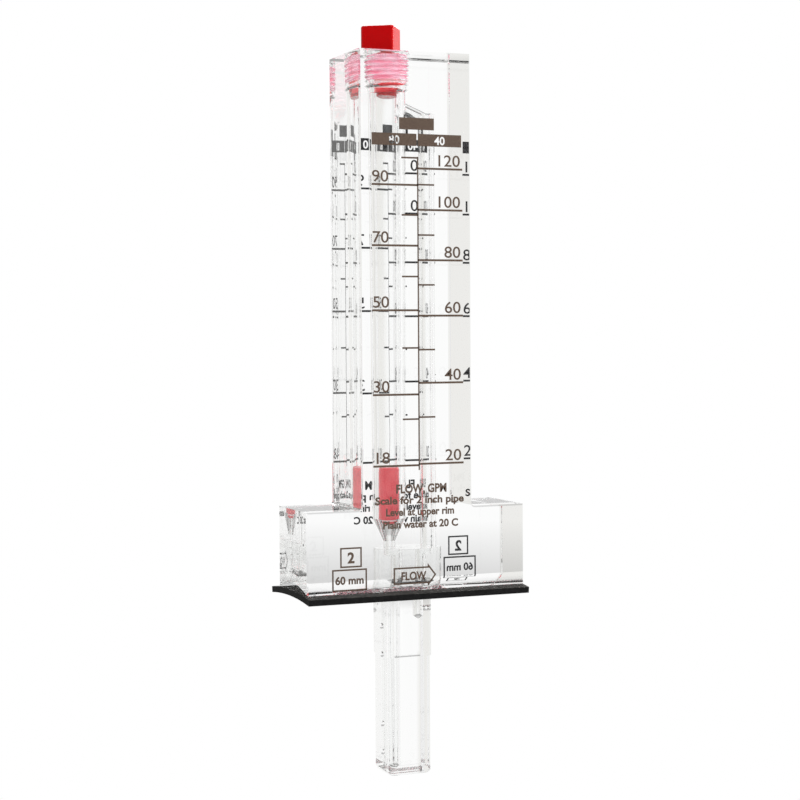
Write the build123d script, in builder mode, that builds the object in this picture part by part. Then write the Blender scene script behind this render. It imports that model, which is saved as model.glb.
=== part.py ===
from build123d import *
import os
from math import asin, cos, degrees, radians, sin, sqrt, tan

os.makedirs("parts", exist_ok=True)

# Clear acrylic flow meter that is clamped on top of a horizontal pipe and reads the flow on a
# float in its bore. Millimetres. The origin is the crown of the concave pipe seat under the
# block, +X is the direction of flow, -Y is the front face and +Z is up.

# Pipe that the meter is made for
pipe_outside_diameter = 60.3
gasket_thickness = 1.7

# Block, cut from one plate as an upside-down T
plate_thickness = 24.0
base_width = 65.8
base_height = 23.0
tower_width = 33.4
block_height = 150.5
inner_corner_radius = 1.0
edge_chamfer = 0.4

# Probe that reaches down into the pipe
probe_width = 13.2
probe_corner_radius = 1.2
probe_collar_length = 22.1
probe_step = 0.15
probe_round_radius = 3.0
probe_tip_radius = 1.2
probe_root = 5.0

# Round boss at the probe's upper end, bonded into a counterbore in the block's seat
boss_radius = 9.9
boss_height = 8.95
boss_gap = 0.05
boss_slot_depth = 2.0

# Float bore and the tapered thread hole above it
bore_x = -5.5
bore_radius_low = 4.85
bore_radius_high = 5.55
seat_height = 17.4
seat_half_angle = 26.0
throat_radius = 1.75
thread_depth = 10.75
thread_taper = 1 / 32
thread_hole_radius = 6.0
thread_mouth_chamfer = 0.7

# Passages drilled in the block and probe
upstream_x = -3.3
downstream_x = 4.0
probe_passage_radius = 1.6
upstream_floor_wall = 2.4
downstream_below_port = 2.0
return_x = 6.4
return_radius = 2.4
return_top_below_thread = 5.6
crossover_radius = 1.7
crossover_slope = 22.0
drill_point_angle = 59.0
drill_chisel_radius = 0.05

# Ports in the probe's sides
port_radius = 0.8
inner_port_offset = 10.0
outer_port_offset = 18.1
probe_below_ports = 5.95
static_port_depth = 9.0

# Float, which rests on a thin foot with its lowest face just under the top of the seat
float_clearance = 0.3
float_length = 14.75
float_top_chamfer = 0.4
float_neck_height = 0.5
float_neck_inset = 1.35
float_foot_inset = 0.55
float_foot_drop = 1.6
float_foot_height = 0.75
float_foot_chamfer = 0.25

# Square-headed pipe plug and the sealing tape on its thread
tape_thickness = 0.25
tape_gap = 0.08
tape_length = 9.2
plug_stand_off = 0.8
plug_tip_inset = 0.9
plug_tip_length = 1.2
head_width = 9.5
head_height = 7.1
head_corner_radius = 0.9
head_edge_radius = 0.5
head_turn = 55.5

# Gasket pad, nearly flat until the clamps bend it round the pipe, cut a little short at the right
gasket_overhang_left = 0.9
gasket_right_inset = 0.25
gasket_overhang_y = 4.1
gasket_arch_radius = 130.0
gasket_hole_clearance = 0.35
gasket_edge_gap = 0.02

# Places worked out from the sizes above
half_plate = plate_thickness / 2
saddle_radius = pipe_outside_diameter / 2 + gasket_thickness
edge_z = sqrt(saddle_radius**2 - half_plate**2) - saddle_radius
shoulder_z = edge_z + base_height
top_z = edge_z + block_height
pipe_centre_z = -saddle_radius
probe_tip_z = pipe_centre_z - outer_port_offset - probe_below_ports
impact_offsets = (-outer_port_offset, -inner_port_offset, inner_port_offset, outer_port_offset)
static_port_z = -static_port_depth
collar_end_z = -probe_collar_length
thread_floor_z = top_z - thread_depth
thread_floor_radius = thread_hole_radius - thread_depth * thread_taper
seat_length = (bore_radius_low - throat_radius) / tan(radians(seat_half_angle))
throat_z = seat_height - seat_length
drill_point = 1 / tan(radians(drill_point_angle))
counterbore_z = boss_height + boss_gap
bore_top_z = thread_floor_z - (thread_floor_radius - bore_radius_high) * drill_point
float_radius = bore_radius_low - float_clearance
float_neck_radius = float_radius - float_neck_inset
float_foot_radius = float_radius - float_foot_inset
float_bottom_z = seat_height - float_foot_drop
float_body_z = float_bottom_z + float_foot_height + float_neck_height
float_top_z = float_body_z + float_length

bore_axis = Axis((bore_x, 0, 0), (0, 0, 1))
bore_plane = Plane(origin=(bore_x, 0, 0), x_dir=(1, 0, 0), z_dir=(0, -1, 0))

# Block of clear acrylic
with BuildPart() as meter_body:
    with BuildSketch(Plane.XZ) as outline:
        with Locations((0, edge_z)):
            Rectangle(base_width, base_height, align=(Align.CENTER, Align.MIN))
            Rectangle(tower_width, block_height, align=(Align.CENTER, Align.MIN))
        shoulder_corners = outline.vertices().group_by(Axis.Y)[1].sort_by(Axis.X)
        fillet(shoulder_corners[1:3], radius=inner_corner_radius)
    extrude(amount=half_plate, both=True)
    rim = meter_body.faces().filter_by(Axis.Y).edges()
    bottom_rim = rim.group_by(Axis.Z)[0]
    chamfer(rim - bottom_rim, length=edge_chamfer)

    # Concave seat for the gasket and pipe, with the counterbore for the probe's boss
    with BuildSketch(Plane.YZ):
        with Locations((0, pipe_centre_z)):
            Circle(saddle_radius)
    extrude(amount=base_width / 2, both=True, mode=Mode.SUBTRACT)
    with Locations((0, 0, edge_z)):
        Cylinder(
            boss_radius + boss_gap,
            counterbore_z - edge_z,
            align=(Align.CENTER, Align.CENTER, Align.MIN),
            mode=Mode.SUBTRACT,
        )

    # Float bore with its inlet and seat, widening upwards, and the tapered thread hole
    with BuildSketch(bore_plane):
        with BuildLine():
            Polyline(
                (0, counterbore_z - boss_slot_depth),
                (throat_radius, counterbore_z - boss_slot_depth),
                (throat_radius, throat_z),
                (bore_radius_low, seat_height),
                (bore_radius_high, bore_top_z),
                (thread_floor_radius, thread_floor_z),
                (thread_hole_radius, top_z - thread_mouth_chamfer),
                (thread_hole_radius + thread_mouth_chamfer, top_z),
                (0, top_z),
                close=True,
            )
        make_face()
    revolve(axis=bore_axis, mode=Mode.SUBTRACT)

    # Return passage beside the float bore
    return_top_z = thread_floor_z - return_top_below_thread
    with Locations((return_x, 0, counterbore_z - boss_slot_depth)):
        Cylinder(
            return_radius,
            return_top_z - counterbore_z + boss_slot_depth,
            align=(Align.CENTER, Align.CENTER, Align.MIN),
            mode=Mode.SUBTRACT,
        )

    # Sloping crossover from the top of the float bore to the top of the return passage
    crossover_run = return_x - bore_x
    crossover_end_z = return_top_z - crossover_radius
    crossover_rise = crossover_run * tan(radians(crossover_slope))
    crossover_direction = (cos(radians(crossover_slope)), 0, -sin(radians(crossover_slope)))
    crossover_plane = Plane(
        origin=(bore_x, 0, crossover_end_z + crossover_rise),
        x_dir=(0, 1, 0),
        z_dir=crossover_direction,
    )
    with BuildSketch(crossover_plane):
        Circle(crossover_radius)
    extrude(amount=crossover_run / cos(radians(crossover_slope)), mode=Mode.SUBTRACT)
meter_body.part.label = "meter_body"

# Probe of clear acrylic: a round boss shaped to the seat, a square collar where the probe passes
# the pipe wall, and rounder edges below
with BuildPart() as pitot_probe:
    with Locations((0, 0, edge_z)):
        Cylinder(
            boss_radius, boss_height - edge_z, align=(Align.CENTER, Align.CENTER, Align.MIN)
        )
    with BuildSketch(Plane.YZ):
        with Locations((0, pipe_centre_z)):
            Circle(saddle_radius)
    extrude(amount=2 * boss_radius, both=True, mode=Mode.SUBTRACT)
    with BuildSketch(Plane.XY.offset(collar_end_z)):
        RectangleRounded(probe_width, probe_width, probe_corner_radius)
    extrude(amount=probe_collar_length + probe_root)
    with BuildSketch(Plane.XY.offset(probe_tip_z)):
        RectangleRounded(
            probe_width - 2 * probe_step, probe_width - 2 * probe_step, probe_round_radius
        )
    extrude(amount=collar_end_z - probe_tip_z)
    fillet(pitot_probe.faces().sort_by(Axis.Z)[0].edges(), radius=probe_tip_radius)

    # Two passages, each with a drill point at its lower end
    for passage_x, floor_z in (
        (upstream_x, probe_tip_z + upstream_floor_wall),
        (downstream_x, static_port_z - downstream_below_port),
    ):
        with Locations((passage_x, 0, floor_z)):
            Cylinder(
                probe_passage_radius,
                boss_height - floor_z,
                align=(Align.CENTER, Align.CENTER, Align.MIN),
                mode=Mode.SUBTRACT,
            )
            Cone(
                drill_chisel_radius,
                probe_passage_radius,
                probe_passage_radius * drill_point,
                align=(Align.CENTER, Align.CENTER, Align.MAX),
                mode=Mode.SUBTRACT,
            )

    # Slots in the boss that lead each passage to the block's passage above it
    with BuildSketch(Plane.XY.offset(boss_height)):
        for probe_x, block_x in ((upstream_x, bore_x), (downstream_x, return_x)):
            with Locations(((probe_x + block_x) / 2, 0)):
                SlotCenterToCenter(abs(block_x - probe_x), 2 * probe_passage_radius)
    extrude(amount=-boss_slot_depth, mode=Mode.SUBTRACT)

    # Impact ports face the flow, the static port faces away from it
    with BuildSketch(Plane.YZ.offset(-probe_width / 2)):
        with Locations([(0, pipe_centre_z + offset) for offset in impact_offsets]):
            Circle(port_radius)
    extrude(amount=upstream_x + probe_width / 2, mode=Mode.SUBTRACT)
    with BuildSketch(Plane.YZ.offset(downstream_x)):
        with Locations((0, static_port_z)):
            Circle(port_radius)
    extrude(amount=probe_width / 2 - downstream_x, mode=Mode.SUBTRACT)
pitot_probe.part.label = "pitot_probe"

# Float, a turned cylinder on a thin foot that stands just clear of the conical seat
with BuildPart() as flow_float:
    with BuildSketch(bore_plane):
        with BuildLine():
            Polyline(
                (0, float_bottom_z),
                (float_foot_radius - float_foot_chamfer, float_bottom_z),
                (float_foot_radius, float_bottom_z + float_foot_chamfer),
                (float_foot_radius, float_bottom_z + float_foot_height),
                (float_neck_radius, float_bottom_z + float_foot_height),
                (float_neck_radius, float_body_z),
                (float_radius, float_body_z),
                (float_radius, float_top_z - float_top_chamfer),
                (float_radius - float_top_chamfer, float_top_z),
                (0, float_top_z),
                close=True,
            )
        make_face()
    revolve(axis=bore_axis)
flow_float.part.label = "flow_float"

# Sealing tape wound on the plug's thread
tape_top_z = top_z - thread_mouth_chamfer
tape_low_z = tape_top_z - tape_length
tape_outer_high = thread_hole_radius - tape_gap
tape_outer_low = tape_outer_high - tape_length * thread_taper
with BuildPart() as thread_tape:
    with BuildSketch(bore_plane):
        with BuildLine():
            Polyline(
                (tape_outer_low - tape_thickness, tape_low_z),
                (tape_outer_low, tape_low_z),
                (tape_outer_high, tape_top_z),
                (tape_outer_high - tape_thickness, tape_top_z),
                close=True,
            )
        make_face()
    revolve(axis=bore_axis)
thread_tape.part.label = "thread_tape"

# Plug: square head, tapered thread drawn plain at its pitch line, and a short plain tip
plug_shoulder_z = top_z + plug_stand_off
plug_radius_high = tape_outer_high - tape_thickness - tape_gap
plug_radius_low = plug_radius_high - thread_depth * thread_taper
plug_tip_radius = plug_radius_low - plug_tip_inset
plug_tip_z = thread_floor_z - plug_tip_length
with BuildPart() as plug:
    with BuildSketch(bore_plane):
        with BuildLine():
            Polyline(
                (0, plug_tip_z),
                (plug_tip_radius, plug_tip_z),
                (plug_tip_radius, thread_floor_z),
                (plug_radius_low, thread_floor_z),
                (plug_radius_high, tape_top_z),
                (plug_radius_high, plug_shoulder_z),
                (0, plug_shoulder_z),
                close=True,
            )
        make_face()
    revolve(axis=bore_axis)
    head_plane = Plane(origin=(bore_x, 0, plug_shoulder_z)).rotated((0, 0, head_turn))
    with BuildSketch(head_plane):
        RectangleRounded(head_width, head_width, head_corner_radius)
    extrude(amount=head_height)
    fillet(plug.faces().sort_by(Axis.Z)[-1].edges(), radius=head_edge_radius)
plug.part.label = "plug"

# Gasket pad, touching the block along its front and back lower edges
gasket_half_width = half_plate + gasket_overhang_y
gasket_left_x = -base_width / 2 - gasket_overhang_left
gasket_right_x = base_width / 2 - gasket_right_inset
arch_drop = gasket_arch_radius - sqrt(gasket_arch_radius**2 - half_plate**2)
gasket_crown_z = edge_z + arch_drop - gasket_edge_gap
gasket_arch_z = gasket_crown_z - gasket_arch_radius
gasket_half_angle = degrees(asin(gasket_half_width / gasket_arch_radius))
gasket_hole_width = probe_width + 2 * gasket_hole_clearance
with BuildPart() as gasket:
    with BuildSketch(Plane.YZ.offset(gasket_left_x)):
        with BuildLine():
            upper, lower = [
                CenterArc(
                    (0, gasket_arch_z), radius, 90 - gasket_half_angle, 2 * gasket_half_angle
                )
                for radius in (gasket_arch_radius, gasket_arch_radius - gasket_thickness)
            ]
            Line(upper @ 0, lower @ 0)
            Line(upper @ 1, lower @ 1)
        make_face()
    extrude(amount=gasket_right_x - gasket_left_x)
    with BuildSketch(Plane.XY.offset(gasket_crown_z)):
        RectangleRounded(
            gasket_hole_width, gasket_hole_width, probe_corner_radius + gasket_hole_clearance
        )
    extrude(amount=2 * gasket_thickness, both=True, mode=Mode.SUBTRACT)
gasket.part.label = "gasket"

export_step(meter_body.part, "parts/meter_body.step")
export_step(pitot_probe.part, "parts/pitot_probe.step")
export_step(flow_float.part, "parts/flow_float.step")
export_step(thread_tape.part, "parts/thread_tape.step")
export_step(plug.part, "parts/plug.step")
export_step(gasket.part, "parts/gasket.step")
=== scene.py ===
import math

import bmesh
import bpy
import numpy as np
from mathutils import Matrix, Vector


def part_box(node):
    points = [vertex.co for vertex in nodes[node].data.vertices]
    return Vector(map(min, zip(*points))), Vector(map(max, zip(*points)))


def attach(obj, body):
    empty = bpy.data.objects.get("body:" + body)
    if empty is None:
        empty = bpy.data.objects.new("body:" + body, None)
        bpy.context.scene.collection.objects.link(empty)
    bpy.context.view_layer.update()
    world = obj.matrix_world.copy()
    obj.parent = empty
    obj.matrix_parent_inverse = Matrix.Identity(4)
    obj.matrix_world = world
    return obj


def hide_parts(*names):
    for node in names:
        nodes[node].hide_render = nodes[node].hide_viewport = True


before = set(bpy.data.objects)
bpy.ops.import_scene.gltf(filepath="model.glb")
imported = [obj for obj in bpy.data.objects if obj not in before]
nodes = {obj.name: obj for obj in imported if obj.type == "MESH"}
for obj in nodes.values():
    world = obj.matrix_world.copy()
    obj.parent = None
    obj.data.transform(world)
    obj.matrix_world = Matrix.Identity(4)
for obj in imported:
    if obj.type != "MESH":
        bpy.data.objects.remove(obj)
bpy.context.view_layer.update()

# The object's own sizes are in millimetres, and this value turns them into metres
MM = 0.001


def node_box(node):
    """Lowest and highest corner of a CAD node, in millimetres."""
    low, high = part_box(node)
    return np.array(low) / MM, np.array(high) / MM


block_low, block_high = node_box("meter_body")
float_low, float_high = node_box("flow_float")
bore_x = (float_low[0] + float_high[0]) / 2
top_z = block_high[2]
front_y = block_low[1]

# Camera of the photograph: focal length in pixels of an 800 pixel frame, and its place
focal_pixels = 1861.4
frame_pixels = 800
sensor_width = 36.0
camera_place = (-199.98, -492.5, 69.44)
camera_azimuth = -22.076
camera_elevation = -2.023
camera_roll = -0.338

# Print on the front and back faces. X and Z are those of the front face, and the back's print
# lies off to one side by the shift.
ink_out = 0.012
ink_in = 0.015
full_line = 0.57
tick_line = 0.48
centre_line = 0.4
centre_x = 0.6
left_end = -13.2
left_tick_end = -4.3
right_end = 14.2
right_tick_end = 5.6
centre_top = 118.8
centre_bottom = 31.4
digit_height = 3.3
digit_lift = 0.75
digit_weight = 0.008
digit_stretch = 1.13
digit_inset = 0.6
plate_weight = 0.022
bold_weight = 0.035
left_marks = (
    (118.5, ""), (110.95, "90"), (102.6, ""), (94.1, "70"), (85.5, ""),
    (76.1, "50"), (65.6, ""), (52.6, "30"), (45.7, ""), (32.75, "18"),
)
right_marks = (
    (115.6, "120"), (111.1, ""), (104.1, "100"), (97.1, ""), (90.1, "80"), (83.2, ""),
    (74.6, "60"), (65.1, ""), (55.8, "40"), (46.2, ""), (33.1, "20"),
)
plates = (
    (-4.9, 5.6, 126.3, 129.6),
    (-13.1, 0.3, 121.8, 125.2),
    (0.7, 13.9, 121.8, 125.2),
)
# The back has the front's two columns the other way round, each behind its own on the front
front_layout = (left_marks, right_marks, ("", "80", "40"))
back_layout = (right_marks, left_marks, ("", "40", "80"))
words = (
    ("FLOW, GPM", -6.4, 8.9, 25.1, 2.45),
    ("Scale for 2 inch pipe", -12.7, 14.2, 22.1, 2.1),
    ("Level at upper rim", -9.5, 11.2, 18.8, 2.1),
    ("Plain water at 20 C", -10.4, 12.4, 15.3, 2.1),
)
arrow_left, arrow_right, arrow_low, arrow_high = -7.35, 5.6, -1.5, 5.1
arrow_head, arrow_barb = 2.6, 0.9
arrow_word = (-5.0, 2.6, 2.3)
frame_boxes = (
    (-23.2, -16.8, 5.0, 10.6, "2", 3.0),
    (-25.6, -15.3, -1.5, 4.6, "60 mm", 2.2),
)
frame_line = 0.45
back_shift = 0.85

# Thread of the plug and its hole. Heights of the groove's middle are counted in turns from one
# that starts on the +X side.
pitch = 1.411
hole_radius = 6.0
taper = 0.0334
thread_height = 0.82
groove_half_width = 0.6
crest_half_width = 0.06
first_turn_z = 138.14
steps_a_turn = 96
fade_rate = 2
foot_depth = 0.13
core_depth = 0.5
foot_share = 0.98
bare_turns = (-0.45, 1.3)
touching_turns = ((-0.42, -0.27, 0.7), (0.6, 0.98, 0.24))
bare_reach = -0.1
taped_turns = (1.25, 6.6)
flank_gap = 0.03
pressed_depth = 0.6
loose_tape_z = (139.9, 141.0)
mouth_z = top_z - 0.7
thread_floor_z = top_z - 10.75
groove_end_z = top_z + 1.2

# Probe: the radius of its lower corners before and after they are tightened, the first corners'
# middle, and the layer of cement in which its boss sits
collar_end_z = -22.1
source_corner = 3.0
source_corner_middle = 3.45
lower_corner = 1.8
boss_reach = 9.8
cement = 0.1

# Cutter's mark on the probe's front face, where the collar ends
mark_left, mark_right = -5.0, 2.9
mark_height, mark_depth = 0.4, 0.22

# Least distance that counts as one between points
touch = 0.01

# Level of the surroundings for surfaces inside the clear pieces
inner_light = 1.8

# Pale ring between the float's body and its foot, a painted highlight on the edge of the foot
ring_radius = 4.3
ring_low, ring_high = 16.62, 16.98


# Meshes

def new_piece(name, vertices, faces, materials, body, slot, face_materials=None, smooth=False):
    """Makes a mesh piece from millimetre points, with its place in its mesh, and lets it ride."""
    mesh = bpy.data.meshes.new(name)
    mesh.from_pydata((np.asarray(vertices, float) * MM).tolist(), [], faces)
    for material in materials:
        mesh.materials.append(material)
    if face_materials is not None:
        mesh.polygons.foreach_set("material_index", np.asarray(face_materials, np.int32))
    mesh.polygons.foreach_set("use_smooth", np.full(len(mesh.polygons), smooth))
    mesh.update()
    piece = bpy.data.objects.new(name, mesh)
    bpy.context.scene.collection.objects.link(piece)
    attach(piece, body)
    return piece


def slab(x0, x1, z0, z1):
    """A flat bar in the XZ plane, from 0 at the back to 1 at the front in Y."""
    x = np.array([x0, x1, x1, x0, x0, x1, x1, x0], float)
    z = np.array([z0, z0, z1, z1, z0, z0, z1, z1], float)
    y = np.array([1, 1, 1, 1, 0, 0, 0, 0], float)
    faces = [(0, 1, 2, 3), (7, 6, 5, 4), (4, 5, 1, 0), (5, 6, 2, 1), (6, 7, 3, 2), (7, 4, 0, 3)]
    return np.stack([x, y, z], 1), faces


def band(points, width):
    """A closed outline of even width as a flat slab.

    Each corner of the inner edge is where the two neighbouring sides meet after both are
    moved inwards by the width.
    """
    outer = np.asarray(points, float)
    side = np.roll(outer, -1, 0) - outer
    side /= np.linalg.norm(side, axis=1)[:, None]
    inward = np.stack([-side[:, 1], side[:, 0]], 1)
    before = np.roll(inward, 1, 0)
    middle = inward + before
    inner = outer + width * middle / (1 + (inward * before).sum(1))[:, None]
    count = len(outer)
    flat = np.concatenate([outer, inner])
    rows = [
        np.stack([flat[:, 0], np.full(2 * count, level), flat[:, 1]], 1) for level in (1.0, 0.0)
    ]
    faces = []
    for i in range(count):
        j = (i + 1) % count
        faces.append((i, j, count + j, count + i))
        faces.append((2 * count + j, 2 * count + i, 3 * count + i, 3 * count + j))
        faces.append((2 * count + i, 2 * count + j, j, i))
        faces.append((3 * count + j, 3 * count + i, count + i, count + j))
    return np.concatenate(rows), faces


def merged_arrays(mesh):
    """Points and faces of a mesh after its doubles are merged and its normals made outward."""
    work = bmesh.new()
    work.from_mesh(mesh)
    bmesh.ops.remove_doubles(work, verts=work.verts, dist=1e-6)
    bmesh.ops.recalc_face_normals(work, faces=work.faces)
    points = np.array([v.co for v in work.verts])
    faces = [tuple(v.index for v in face.verts) for face in work.faces]
    work.free()
    return points, faces


def cut_away(solid, cutter):
    """What is left of a closed solid when another is cut out of it."""
    holders = []
    for points, faces in (solid, cutter):
        mesh = bpy.data.meshes.new("solid")
        mesh.from_pydata(points.tolist(), [], faces)
        mesh.update()
        outward = bmesh.new()
        outward.from_mesh(mesh)
        bmesh.ops.recalc_face_normals(outward, faces=outward.faces)
        outward.to_mesh(mesh)
        outward.free()
        holder = bpy.data.objects.new("solid", mesh)
        bpy.context.scene.collection.objects.link(holder)
        holders.append(holder)
    boolean = holders[0].modifiers.new("cut", "BOOLEAN")
    boolean.operation = "DIFFERENCE"
    boolean.solver = "EXACT"
    boolean.object = holders[1]
    depsgraph = bpy.context.evaluated_depsgraph_get()
    mesh = bpy.data.meshes.new_from_object(holders[0].evaluated_get(depsgraph))
    result = merged_arrays(mesh)
    for holder in holders:
        bpy.data.objects.remove(holder)
    bpy.data.meshes.remove(mesh)
    return result


def letters(text, height, x, z, align="LEFT", weight=0.0, right=None, stretch=1.0):
    """A word as a flat slab: the built-in font's outline, filled and given a thickness of 1 in Y.

    The weight thickens the strokes, and the stretch widens the word. With a right end the word
    is stretched to reach it.
    """
    curve = bpy.data.curves.new("letters", "FONT")
    curve.body = text
    curve.align_x = align
    curve.extrude = 0.5
    curve.offset = weight
    curve.resolution_u = 4
    holder = bpy.data.objects.new("letters", curve)
    bpy.context.scene.collection.objects.link(holder)
    depsgraph = bpy.context.evaluated_depsgraph_get()
    mesh = bpy.data.meshes.new_from_object(holder.evaluated_get(depsgraph))
    points, faces = merged_arrays(mesh)
    bpy.data.objects.remove(holder)
    bpy.data.meshes.remove(mesh)
    capital = 0.729
    scale = height / capital
    across = points[:, 0] * scale * stretch
    if right is not None:
        across = (across - across.min()) * (right - x) / (across.max() - across.min())
    return np.stack([across + x, points[:, 2] + 0.5, points[:, 1] * scale + z], 1), faces


def knocked_out(plate, cut):
    """A printed plate with a word left clear in it."""
    through = np.array(cut[0])
    through[:, 1] = (through[:, 1] - 0.5) * 3 + 0.5
    return cut_away(plate, (through, cut[1]))


def joined(parts):
    """Several slabs as one set of points and faces."""
    points, faces, start = [], [], 0
    for part_points, part_faces in parts:
        points.append(part_points)
        faces += [tuple(start + i for i in face) for face in part_faces]
        start += len(part_points)
    return np.concatenate(points), faces


def printed(name, parts, inks, from_behind=False):
    """Slabs laid on a face of the block, half outside and half in it, as print on a clear plate.

    Y runs from just inside the face to just outside it. On the back the print is shifted a
    little and turned half a turn about Z, so that it reads from its own side. The outward side
    takes the first ink. The other sides take the second, a copy of the ink painted near black
    as shade, which shows through the block.
    """
    points, faces = joined(parts)
    depth = front_y + ink_in - points[:, 1] * (ink_in + ink_out)
    placed = np.stack([points[:, 0], depth, points[:, 2]], 1)
    if from_behind:
        placed[:, 0] += back_shift
        placed[:, :2] *= -1
    outer = front_y - ink_out
    if from_behind:
        outer = -outer
    which = [0 if all(abs(placed[i, 1] - outer) < 1e-6 for i in face) else 1 for face in faces]
    return new_piece(name, placed, faces, inks, "meter", "clear_acrylic", which)


def wall_radius(z):
    """Radius of the tapered hole at a height, which grows evenly towards its mouth."""
    return hole_radius - taper * (mouth_z - z)


def turn_at(z):
    """Turns of the thread from its first turn up to a height."""
    return (z - first_turn_z) / pitch


def along_helix(turns, section):
    """A closed solid that carries a section along the thread's tapered helix.

    The angle is a whole turn for each turn and the height rises by one pitch with it. The
    section's points are given as radius and lift, each an array over the steps.
    """
    turn = np.linspace(turns[0], turns[1], int((turns[1] - turns[0]) * steps_a_turn) + 1)
    angle = 2 * math.pi * turn
    middle = first_turn_z + pitch * turn
    corners = section(turn, wall_radius(middle))
    rows = [
        np.stack(
            [
                bore_x + radius * np.cos(angle),
                radius * np.sin(angle),
                middle + lift,
            ],
            1,
        )
        for radius, lift in corners
    ]
    points = np.stack(rows, 1).reshape(-1, 3)
    count = len(corners)
    i = np.arange(len(turn) - 1)[:, None] * count
    j = np.arange(count)[None, :]
    k = (j + 1) % count
    quads = np.stack([i + j, i + count + j, i + count + k, i + k], -1).reshape(-1, 4)
    faces = [tuple(quad) for quad in quads.tolist()]
    faces.append(tuple(range(count)))
    faces.append(tuple(range(len(points) - 1, len(points) - count - 1, -1)))
    return points, faces


def ridge(turn, wall, flank, reach, ends, depth=1.0):
    """A thread ridge's section: a blunt V on a foot that nearly meets the next turn's.

    Its flanks pass the groove's by the given amount, or stand clear of them where that is
    negative. Its crest lies at a share of the groove's depth and reaches on by another amount,
    and it sinks into its core near both ends.
    """
    fade = np.clip(np.minimum(turn - ends[0], ends[1] - turn) * fade_rate, 0, 1)
    foot = wall - foot_depth + np.maximum(flank, 0) * 10 * fade
    crest = foot + (thread_height * depth + foot_depth + reach) * fade
    waist = np.maximum(wall - foot_depth + foot_depth * fade, foot + 0.005)
    wide = np.full_like(turn, pitch / 2 * foot_share)
    middle = groove_half_width + flank
    tip = groove_half_width + (crest_half_width - groove_half_width) * depth + flank / 2
    inner = wall - core_depth
    right = [(inner, wide), (foot, wide), (waist, middle), (crest, tip)]
    left = [(radius, -lift) for radius, lift in reversed(right)]
    return right + left


def groove(turn, wall):
    """The groove's section, which fades into the wall at its lower end."""
    start_depth, inner_depth = 0.05, 0.3
    fade = np.clip((turn - turn[0]) * fade_rate, 0, 1)
    crest = wall - start_depth + (thread_height + start_depth) * fade
    inner = wall - inner_depth
    wide = np.full_like(turn, groove_half_width)
    tip = np.full_like(turn, crest_half_width)
    right = [(inner, wide), (wall, wide), (crest, tip)]
    return right + [(radius, -lift) for radius, lift in reversed(right)]


def taped_ridge(turn, wall):
    """The ridge under tape, which fills the groove's lower part, tighter in some places."""
    press = np.sin(14.5 * turn) * np.sin(2.3 * turn + 1.0)
    return ridge(turn, wall, 0.014 + 0.004 * press, 0.03 * press, taped_turns, pressed_depth)


def bare_ridge(turn, wall):
    """The ridge below the tape, whose crest comes near the groove's on part of its turns.

    Each such part rises and falls over a twelfth of a turn and adds its own reach.
    """
    reach = np.full_like(turn, bare_reach)
    for start, end, more in touching_turns:
        near = np.clip((turn - start) * 12, 0, 1) * np.clip((end - turn) * 12, 0, 1)
        reach += more * near
    return ridge(turn, wall, np.full_like(turn, -flank_gap), reach, bare_turns)


def node_copy(name):
    """A merged copy of a CAD node, as points in millimetres and faces."""
    source = nodes[name]
    points, faces = merged_arrays(source.data)
    place = np.array(source.matrix_world)
    return (points @ place[:3, :3].T + place[:3, 3]) / MM, faces


def clear_piece(name, points, faces, replaced):
    """A clear piece with crisp edges and evenly curved round faces, in place of a CAD node."""
    piece = new_piece(name, points, faces, [acrylic], "meter", "clear_acrylic", smooth=True)
    piece.data.set_sharp_from_angle(angle=math.radians(25))
    weighted = piece.modifiers.new("normals", "WEIGHTED_NORMAL")
    weighted.keep_sharp = True
    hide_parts(replaced)
    return piece


def threaded_block():
    """A copy of the block with the thread's groove cut in its tapered hole."""
    turns = (turn_at(thread_floor_z + 0.1), turn_at(groove_end_z))
    points, faces = cut_away(node_copy("meter_body"), along_helix(turns, groove))
    return clear_piece("threaded_block", points, faces, "meter_body")


def bonded_probe():
    """A copy of the probe with tighter lower corners, whose boss sits in cement in its recess.

    A point of a lower corner keeps its direction from the corner's middle. The middle moves
    outwards and the distance from it shrinks by as much. A point of the boss's wall moves out
    along its radius, and one of the boss's top moves up. A shallow mark of V section, which is
    widest at the face, is cut where the collar ends.
    """
    points, faces = node_copy("pitot_probe")
    moved = lower_corner - source_corner
    flat = points[:, :2]
    away = np.abs(flat) - source_corner_middle
    far = np.linalg.norm(away, axis=1)
    corner = (
        (points[:, 2] < collar_end_z + touch)
        & (away.min(1) > -touch)
        & (far < source_corner + touch)
        & (far > touch)
    )
    drawn = source_corner_middle - moved + away * (1 + moved / np.maximum(far, touch))[:, None]
    points[corner, :2] = (np.sign(flat) * drawn)[corner]
    radius = np.linalg.norm(flat, axis=1)
    wall = radius > boss_reach
    points[wall, :2] *= ((radius + cement) / radius)[wall][:, None]
    points[points[:, 2] > points[:, 2].max() - touch, 2] += cement
    low = points[points[:, 2] < collar_end_z - 10, 1].min()
    mark, mark_faces = slab(mark_left, mark_right, -mark_height / 2, mark_height / 2)
    mark[:, 2] *= 0.02 + mark[:, 1] / mark_depth
    mark[:, 2] += collar_end_z + mark_height
    mark[:, 1] = low + mark_depth - mark[:, 1]
    points, faces = cut_away((points, faces), (mark, mark_faces))
    return clear_piece("bonded_probe", points, faces, "pitot_probe")


def turned_ring(name, radius, inner_radius, low, high, finish, body, slot, count=96):
    """A plain ring round the bore's axis, with a square section."""
    angle = np.linspace(0, 2 * math.pi, count, endpoint=False)
    rows = [
        np.stack([bore_x + r * np.cos(angle), r * np.sin(angle), np.full(count, z)], 1)
        for r, z in ((inner_radius, low), (radius, low), (radius, high), (inner_radius, high))
    ]
    points = np.concatenate(rows)
    faces = []
    for j in range(4):
        k = (j + 1) % 4
        for i in range(count):
            n = (i + 1) % count
            faces.append((j * count + i, j * count + n, k * count + n, k * count + i))
    return new_piece(name, points, faces, [finish], body, slot, smooth=False)


# Materials

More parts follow.
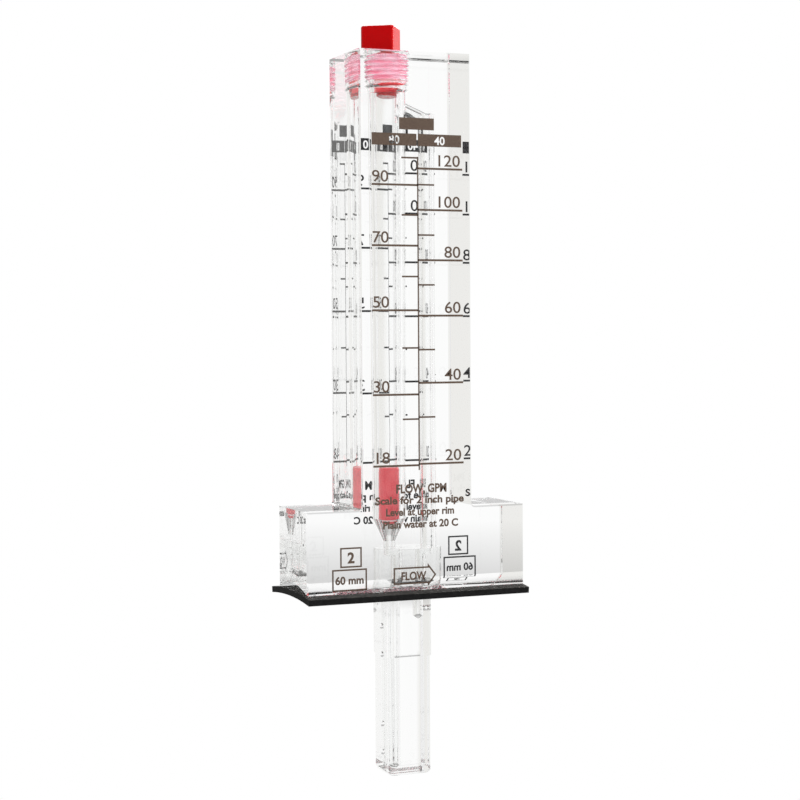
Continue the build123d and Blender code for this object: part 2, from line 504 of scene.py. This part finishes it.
def material(name):
    """A new material with its Principled shader and a helper that adds nodes."""
    made = bpy.data.materials.new(name)
    made.use_nodes = True
    tree = made.node_tree
    return made, tree, tree.nodes["Principled BSDF"]


def node(tree, kind, inputs=None, **settings):
    """Adds a node, sets its properties, and fills or links its inputs."""
    made = tree.nodes.new(kind)
    for key, value in settings.items():
        setattr(made, key, value)
    for key, value in (inputs or {}).items():
        if isinstance(value, bpy.types.NodeSocket):
            tree.links.new(value, made.inputs[key])
        else:
            made.inputs[key].default_value = value
    return made


def object_point(tree, stretch=(1, 1, 1)):
    """Object coordinates in metres, stretched along each axis."""
    where = node(tree, "ShaderNodeTexCoord")
    mapping = node(tree, "ShaderNodeMapping", {"Vector": where.outputs["Object"], "Scale": stretch})
    return mapping.outputs["Vector"]


def noise(tree, scale, stretch=(1, 1, 1), detail=4.0, roughness=0.55):
    """Noise over the object, as a value from 0 to 1."""
    inputs = {"Vector": object_point(tree, stretch), "Scale": scale}
    inputs.update({"Detail": detail, "Roughness": roughness})
    return node(tree, "ShaderNodeTexNoise", inputs).outputs["Fac"]


def ramp(tree, value, low, high, out_low, out_high):
    """Maps a value from one range to another, and clamps it."""
    made = node(
        tree,
        "ShaderNodeMapRange",
        {"Value": value, "From Min": low, "From Max": high, "To Min": out_low, "To Max": out_high},
    )
    return made.outputs["Result"]


def maths(tree, operation, first, second=None):
    """A sum on one or two values."""
    inputs = {0: first} if second is None else {0: first, 1: second}
    return node(tree, "ShaderNodeMath", inputs, operation=operation).outputs[0]


def colour_mix(tree, factor, first, second):
    """Mixes two colours by a value."""
    made = node(tree, "ShaderNodeMix", data_type="RGBA")
    tree.links.new(factor, made.inputs[0])
    for socket, value in ((made.inputs[6], first), (made.inputs[7], second)):
        if isinstance(value, bpy.types.NodeSocket):
            tree.links.new(value, socket)
        else:
            socket.default_value = value
    return made.outputs[2]


def bump(tree, shader, height, strength, distance):
    """Raises the surface by a height value."""
    made = node(
        tree, "ShaderNodeBump", {"Height": height, "Strength": strength, "Distance": distance}
    )
    tree.links.new(made.outputs["Normal"], shader.inputs["Normal"])


def near_axis(tree, x, reach):
    """1 within a distance of an upright axis in the plane Y = 0, and 0 outside it."""
    flat = node(
        tree,
        "ShaderNodeVectorMath",
        {0: object_point(tree), 1: (1, 1, 0)},
        operation="MULTIPLY",
    )
    away = node(
        tree,
        "ShaderNodeVectorMath",
        {0: flat.outputs["Vector"], 1: (x * MM, 0, 0)},
        operation="DISTANCE",
    )
    return ramp(tree, away.outputs["Value"], (reach + 0.05) * MM, reach * MM, 0.0, 1.0)


def clear_acrylic():
    """Polished clear plate, with a faint satin and tool rings on the drilled walls."""
    made, tree, shader = material("clear acrylic")
    shader.inputs["Base Color"].default_value = (0.985, 0.988, 0.985, 1)
    shader.inputs["Transmission Weight"].default_value = 1.0
    shader.inputs["IOR"].default_value = 1.49
    masks = [near_axis(tree, bore_x, 6.9), near_axis(tree, 6.4, 2.5), near_axis(tree, 4.0, 1.7)]
    drilled = masks[0]
    for mask in masks[1:]:
        drilled = maths(tree, "MAXIMUM", drilled, mask)
    wear = ramp(tree, noise(tree, 90), 0.45, 0.75, 0.0, 0.012)
    satin = ramp(tree, noise(tree, 60, (1, 1, 14)), 0.3, 0.7, 0.03, 0.09)
    chosen = node(tree, "ShaderNodeMix", {0: drilled, 2: wear, 3: satin})
    tree.links.new(chosen.outputs[0], shader.inputs["Roughness"])
    return made


def red_plastic(name, deep, bright, rough, specular):
    """Moulded red plastic: slow colour drift, fine grain and a little unevenness in its gloss."""
    made, tree, shader = material(name)
    shader.inputs["Specular IOR Level"].default_value = specular
    shade = ramp(tree, noise(tree, 160), 0.3, 0.75, 0.0, 1.0)
    tree.links.new(colour_mix(tree, shade, deep, bright), shader.inputs["Base Color"])
    gloss = ramp(tree, noise(tree, 700), 0.3, 0.7, rough - 0.03, rough + 0.05)
    tree.links.new(gloss, shader.inputs["Roughness"])
    bump(tree, shader, noise(tree, 900), 0.01, 0.00005)
    return made


def wrapped_tape():
    """White sealing tape drawn thin over a red thread, so that the red shows through in places.

    Its lowest wrap is looser and whiter.
    """
    made, tree, shader = material("wrapped tape")
    thin = ramp(tree, noise(tree, 260, (1, 1, 3)), 0.35, 0.68, 0.0, 1.0)
    pale, deep, white = (0.98, 0.62, 0.73, 1), (0.96, 0.26, 0.4, 1), (0.97, 0.8, 0.83, 1)
    split = node(tree, "ShaderNodeSeparateXYZ", {0: object_point(tree)})
    loose = ramp(tree, split.outputs["Z"], loose_tape_z[1] * MM, loose_tape_z[0] * MM, 0.0, 1.0)
    drawn = colour_mix(tree, thin, pale, deep)
    tree.links.new(colour_mix(tree, loose, drawn, white), shader.inputs["Base Color"])
    shader.inputs["Roughness"].default_value = 0.4
    bump(tree, shader, noise(tree, 900, (1, 1, 5)), 0.3, 0.0001)
    return made


def ink(name, colour, worn):
    """Screen print: even colour with fine mottling."""
    made, tree, shader = material(name)
    spots = ramp(tree, noise(tree, 2500), 0.4, 0.75, 0.0, 1.0)
    tree.links.new(colour_mix(tree, spots, colour, worn), shader.inputs["Base Color"])
    shader.inputs["Roughness"].default_value = 0.65
    shader.inputs["Specular IOR Level"].default_value = 0.2
    return made


def sheet_rubber():
    """Black sheet rubber with fine grain. Faces that point up are painted lighter as if lit, and
    all other faces, the cut edges too, are painted darker as shade.
    """
    made, tree, shader = material("sheet rubber")
    facing = node(tree, "ShaderNodeNewGeometry")
    split = node(tree, "ShaderNodeSeparateXYZ", {0: facing.outputs["Normal"]})
    # painted light and shade: faces that point up get the lighter colour as if lit, and the rest
    # get the darker one
    up = ramp(tree, split.outputs["Z"], 0.6, 0.95, 0.0, 1.0)
    grain = ramp(tree, noise(tree, 900), 0.3, 0.7, 0.0, 1.0)
    face = colour_mix(tree, grain, (0.02, 0.019, 0.018, 1), (0.045, 0.043, 0.04, 1))
    edge = colour_mix(tree, grain, (0.003, 0.003, 0.003, 1), (0.008, 0.008, 0.008, 1))
    tree.links.new(colour_mix(tree, up, edge, face), shader.inputs["Base Color"])
    shader.inputs["Roughness"].default_value = 0.75
    shader.inputs["Specular IOR Level"].default_value = 0.12
    bump(tree, shader, noise(tree, 1400), 0.3, 0.0001)
    return made


def floor_paint():
    """Pale floor that turns into the white surroundings away from the object, for the camera."""
    made, tree, shader = material("floor paint")
    shader.inputs["Base Color"].default_value = (0.85, 0.85, 0.85, 1)
    shader.inputs["Roughness"].default_value = 0.9
    glow = node(tree, "ShaderNodeEmission", {"Color": (1, 1, 1, 1), "Strength": 1.0})
    path = node(tree, "ShaderNodeLightPath")
    flat = object_point(tree, (1, 1, 0))
    away = node(tree, "ShaderNodeVectorMath", {0: flat}, operation="LENGTH")
    white = ramp(tree, away.outputs["Value"], 0.1, 0.8, 0.45, 1.0)
    mixed = node(
        tree,
        "ShaderNodeMixShader",
        {
            0: maths(tree, "MULTIPLY", white, path.outputs["Is Camera Ray"]),
            1: shader.outputs[0],
            2: glow.outputs[0],
        },
    )
    tree.links.new(mixed.outputs[0], tree.nodes["Material Output"].inputs["Surface"])
    return made


# Studio

def studio_world():
    """White surroundings for the camera, and a softly shaded studio in mirror and clear surfaces.

    The shading is a product of soft steps: upright grey screens at even angles round the object,
    clear of the directions that it is usually seen in, a slightly warmer and darker wall at the
    back left, a darker table edge just under the horizon behind the object, a dark room on the
    camera's side, and a darker ground. Diffuse surfaces get a plain lower level. The lamps don't
    shine through the clear pieces, so surfaces inside them see brighter surroundings instead.
    """
    world = bpy.data.worlds.new("studio")
    bpy.context.scene.world = world
    world.use_nodes = True
    tree = world.node_tree
    background = tree.nodes["Background"]
    where = node(tree, "ShaderNodeTexCoord")
    split = node(tree, "ShaderNodeSeparateXYZ", {0: where.outputs["Generated"]})
    x, y, z = (split.outputs[axis] for axis in "XYZ")

    # cosine of twice the angle from the X axis: the screens lie about 18 to 34 degrees from it
    turn = maths(tree, "ARCTAN2", y, x)
    wave = maths(tree, "COSINE", maths(tree, "MULTIPLY", turn, 2.0))
    screen = maths(
        tree, "MULTIPLY", ramp(tree, wave, 0.92, 0.74, 0, 1), ramp(tree, wave, 0.2, 0.5, 0, 1)
    )
    # angle from +Y towards +X, for the wall at the back left and the room behind the camera
    heading = maths(tree, "ARCTAN2", x, y)
    back_left = maths(tree, "COSINE", maths(tree, "ADD", heading, math.radians(35)))
    wall = ramp(tree, back_left, 0.6, 0.92, 0, 1)
    towards_camera = maths(tree, "COSINE", maths(tree, "ADD", heading, math.radians(155)))
    path = node(tree, "ShaderNodeLightPath")
    reflected = ramp(tree, path.outputs["Is Transmission Ray"], 0, 1, 1.0, 0.08)
    room = maths(tree, "MULTIPLY", ramp(tree, towards_camera, 0.55, 0.85, 0, 1), reflected)
    edge = maths(
        tree, "MULTIPLY", ramp(tree, z, -0.1, -0.134, 0, 1), ramp(tree, z, -0.147, -0.14, 0, 1)
    )
    ahead = ramp(tree, maths(tree, "COSINE", heading), 0.4, 0.7, 0, 1)
    table = maths(tree, "MULTIPLY", edge, ahead)
    ground = ramp(tree, z, -0.35, -0.7, 0, 1)
    sky = ramp(tree, z, 0.5, 0.85, 0, 1)

    level = 1.0
    for part, dimming in (
        (screen, 0.14), (wall, 0.14), (room, 0.9), (table, 0.34), (ground, 0.6), (sky, 0.05),
    ):
        kept = maths(tree, "MULTIPLY_ADD", part, -dimming)
        tree.nodes[-1].inputs[2].default_value = 1.0
        level = maths(tree, "MULTIPLY", kept, level)

    within = ramp(tree, path.outputs["Diffuse Depth"], 0, 1, 1.0, inner_light)
    level = maths(tree, "MULTIPLY", level, within)
    glossy, through = path.outputs["Is Glossy Ray"], path.outputs["Is Transmission Ray"]
    clear = maths(tree, "MAXIMUM", glossy, through)
    shaded = node(tree, "ShaderNodeMix", {0: clear, 2: 0.55, 3: level}).outputs[0]
    strength = maths(tree, "MAXIMUM", path.outputs["Is Camera Ray"], shaded)
    warm = maths(tree, "MULTIPLY", wall, clear)
    tint = colour_mix(tree, warm, (1, 1, 1, 1), (1.0, 0.99, 0.965, 1))
    tree.links.new(tint, background.inputs["Color"])
    tree.links.new(strength, background.inputs["Strength"])


def lamp(name, place, size, power):
    """A square soft lamp in metres that faces the middle of the tower."""
    light = bpy.data.lights.new(name, "AREA")
    light.shape = "SQUARE"
    light.size = size
    light.energy = power
    holder = bpy.data.objects.new(name, light)
    bpy.context.scene.collection.objects.link(holder)
    aim = np.array([0.0, 0.0, 0.07]) - np.array(place)
    back = -aim / np.linalg.norm(aim)
    side = np.cross([0, 0, 1.0], back)
    side /= np.linalg.norm(side)
    up = np.cross(back, side)
    turn = Matrix(np.stack([side, up, back], 1).tolist()).to_4x4()
    holder.matrix_world = Matrix.Translation(place) @ turn
    holder.visible_transmission = False
    return holder


def photo_camera():
    """The camera, turned by its azimuth, elevation and roll."""
    azimuth, elevation, roll = map(math.radians, (camera_azimuth, camera_elevation, camera_roll))
    forward = np.array(
        [
            -math.sin(azimuth) * math.cos(elevation),
            math.cos(azimuth) * math.cos(elevation),
            math.sin(elevation),
        ]
    )
    level_side = np.array([math.cos(azimuth), math.sin(azimuth), 0])
    level_up = np.cross(level_side, forward)
    side = math.cos(roll) * level_side + math.sin(roll) * level_up
    up = -math.sin(roll) * level_side + math.cos(roll) * level_up
    data = bpy.data.cameras.new("camera")
    data.sensor_width = sensor_width
    data.lens = focal_pixels / frame_pixels * sensor_width
    data.clip_start = 0.01
    data.clip_end = 50
    holder = bpy.data.objects.new("camera", data)
    bpy.context.scene.collection.objects.link(holder)
    turn = Matrix(np.stack([side, up, -forward], 1).tolist()).to_4x4()
    holder.matrix_world = Matrix.Translation([v * MM for v in camera_place]) @ turn
    bpy.context.scene.camera = holder


def floor():
    """A wide pale floor well below the meter, which hangs from its holder."""
    mesh = bpy.data.meshes.new("floor")
    reach, level = 4.0, -0.3
    turns = ((-1, -1), (1, -1), (1, 1), (-1, 1))
    corners = [(x * reach, y * reach, level) for x, y in turns]
    mesh.from_pydata(corners, [], [(0, 1, 2, 3)])
    mesh.materials.append(floor_paint())
    ground = bpy.data.objects.new("floor", mesh)
    bpy.context.scene.collection.objects.link(ground)
    ground.visible_transmission = False
    ground.visible_glossy = False


# Pieces

def digits(text, x, z, align):
    """A number of the scale above its mark."""
    lifted = z + digit_lift
    return letters(text, digit_height, x, lifted, align, digit_weight, stretch=digit_stretch)


def scale_print(left, right, plate_words):
    """The scale with its numbers, the header plates and the words of one printed face."""
    half = centre_line / 2
    scale = [slab(centre_x - half, centre_x + half, centre_bottom, centre_top)]
    numbers = []
    for z, text in left:
        half = (full_line if text else tick_line) / 2
        scale.append(slab(left_end if text else left_tick_end, centre_x, z - half, z + half))
        if text:
            numbers.append(digits(text, left_end, z, "LEFT"))
    for z, text in right:
        half = (full_line if text else tick_line) / 2
        scale.append(slab(centre_x, right_end if text else right_tick_end, z - half, z + half))
        if text:
            numbers.append(digits(text, right_end - digit_inset, z, "RIGHT"))
    header = []
    for (x0, x1, z0, z1), text in zip(plates, plate_words):
        plate = slab(x0, x1, z0, z1)
        if text:
            height = 0.68 * (z1 - z0)
            lift = (z1 - z0 - height) / 2
            word = letters(text, height, (x0 + x1) / 2, z0 + lift, "CENTER", plate_weight)
            plate = knocked_out(plate, word)
        header.append(plate)
    lines = [
        letters(text, height, x0, z, "LEFT", bold_weight, x1) for text, x0, x1, z, height in words
    ]
    return scale, numbers, header, lines


def frame_print():
    """The two framed fields at the left of the foot, each with a plain size in it."""
    parts = []
    for x0, x1, z0, z1, text, height in frame_boxes:
        parts.append(band([(x0, z0), (x1, z0), (x1, z1), (x0, z1)], frame_line))
        lift = (z1 - z0 - height) / 2
        parts.append(letters(text, height, (x0 + x1) / 2, z0 + lift, "CENTER", bold_weight))
    return parts


def flow_arrow():
    """The outline of the flow arrow on the front face, and its word."""
    middle = (arrow_low + arrow_high) / 2
    body_low, body_high = arrow_low + arrow_barb, arrow_high - arrow_barb
    neck = arrow_right - arrow_head
    points = [
        (arrow_left, body_low), (neck, body_low), (neck, arrow_low), (arrow_right, middle),
        (neck, arrow_high), (neck, body_high), (arrow_left, body_high),
    ]
    x0, x1, height = arrow_word
    word = letters("FLOW", height, x0, middle - height / 2, "LEFT", bold_weight, x1)
    return [band(points, frame_line), word]


brown_ink = ink("brown ink", (0.07, 0.045, 0.032, 1), (0.115, 0.082, 0.06, 1))
# painted shade: the print's inward sides get this near-black copy of the brown ink, darker than the
# ink's own colour
ink_with_painted_shade = ink("ink seen through the block, painted dark as shade", (0.012, 0.012, 0.014, 1), (0.03, 0.03, 0.032, 1))
inks = [brown_ink, ink_with_painted_shade]
acrylic = clear_acrylic()
plug_red = red_plastic("plug red", (0.46, 0.001, 0.002, 1), (0.5, 0.002, 0.003, 1), 0.2, 0.12)
thread_red = red_plastic("thread red", (0.72, 0.02, 0.03, 1), (0.85, 0.04, 0.05, 1), 0.28, 0.4)
float_red = red_plastic("float red", (0.72, 0.05, 0.065, 1), (0.8, 0.08, 0.1, 1), 0.3, 0.5)
# painted highlight: a pale colour for the ring that stands for the glint on the edge of the float's
# foot
highlight_ring_red, _, ring_shader = material("ring painted as a highlight")
ring_shader.inputs["Base Color"].default_value = (0.95, 0.72, 0.74, 1)
tape = wrapped_tape()
rubber = sheet_rubber()

for name, finish in (
    ("meter_body", acrylic),
    ("pitot_probe", acrylic),
    ("plug", plug_red),
    ("flow_float", float_red),
    ("thread_tape", tape),
    ("gasket", rubber),
):
    nodes[name].data.materials.clear()
    nodes[name].data.materials.append(finish)

printed("front_flow_arrow", flow_arrow(), inks)
for side, behind, layout in (("front", False, front_layout), ("back", True, back_layout)):
    scale, numbers, header, lines = scale_print(*layout)
    printed(f"{side}_scale_lines", scale, inks, behind)
    printed(f"{side}_scale_numbers", numbers, inks, behind)
    printed(f"{side}_header_plates", header, inks, behind)
    printed(f"{side}_words", lines, inks, behind)
    printed(f"{side}_frames", frame_print(), inks, behind)

threaded_block()
bonded_probe()
new_piece("taped_thread", *along_helix(taped_turns, taped_ridge), [tape], "plug", "sealing_tape")
new_piece("bare_thread", *along_helix(bare_turns, bare_ridge), [thread_red], "plug", "plug_red")
# a pale ring, not a part of the float, put where the edge of the float's foot shows a highlight:
# painted highlight
turned_ring("float_highlight_ring", ring_radius, 3.0, ring_low, ring_high, highlight_ring_red, "float", "float_red")

photo_camera()
studio_world()
floor()
lamp("key lamp", (1.45, -0.35, 0.7), 0.8, 36)
lamp("fill lamp", (-0.25, -1.2, 1.1), 0.8, 12)
lamp("back lamp", (0.4, 1.3, 0.9), 0.9, 14)

scene = bpy.context.scene
scene.view_settings.view_transform = "Standard"
scene.cycles.max_bounces = 24
scene.cycles.glossy_bounces = 20
scene.cycles.transmission_bounces = 24
